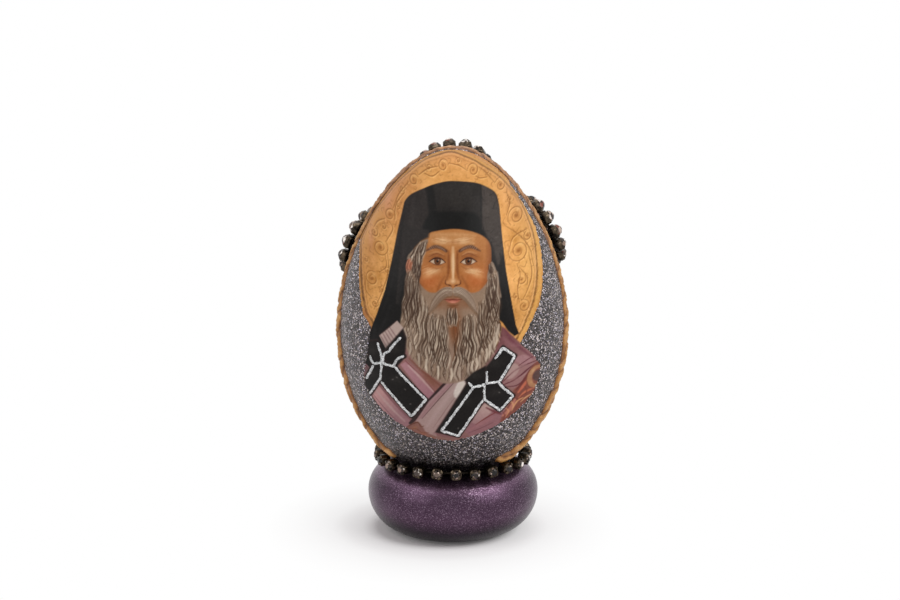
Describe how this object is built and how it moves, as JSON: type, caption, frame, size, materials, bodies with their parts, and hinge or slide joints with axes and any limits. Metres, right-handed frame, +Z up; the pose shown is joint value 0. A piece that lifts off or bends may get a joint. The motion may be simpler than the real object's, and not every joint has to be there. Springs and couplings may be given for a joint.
{
  "type": "wooden egg",
  "caption": "Decorated wooden egg on a turned stand, with a pasted icon print, glitter, a piped relief border and rhinestone cup chain at the neck and in coiled rosettes.",
  "frame": {"origin": "middle of the flat underside of the stand", "axes": "+Z up through the egg, the print faces -Y, +X to the right seen from the front"},
  "size_m": [0.0465, 0.0453, 0.0788],
  "materials": {
    "stand_paint": "purple metallic paint on turned wood, gloss",
    "egg_wood": "bare turned wood, hidden under the coats",
    "dowel_wood": "bare dowel",
    "glitter": "fine silver and dark glitter in clear glue",
    "print_paper": "printed paper under gloss varnish, with gold foil ground",
    "silver_paint": "raised silver glitter paint",
    "relief_paint": "raised ochre and gold paint, satin, darker in the notches",
    "cup_metal": "stamped and plated, slightly tarnished",
    "link_metal": "stamped and plated",
    "rhinestone": "smoky foil-backed cut glass"
  },
  "bodies": {
    "root": {"stand": "stand_paint", "egg_body": "egg_wood", "dowel": "dowel_wood", "glitter_coat": "glitter", "icon_print": "print_paper", "silver_outlines": "silver_paint", "relief_border": "relief_paint", "neck_chain_cups": "cup_metal", "neck_chain_stones": "rhinestone", "neck_chain_links": "link_metal", "crown_rosette_cups": "cup_metal", "crown_rosette_stones": "rhinestone", "crown_rosette_links": "link_metal", "left_rosette_cups": "cup_metal", "left_rosette_stones": "rhinestone", "left_rosette_links": "link_metal", "right_rosette_cups": "cup_metal", "right_rosette_stones": "rhinestone", "right_rosette_links": "link_metal"}
  },
  "joints": []
}
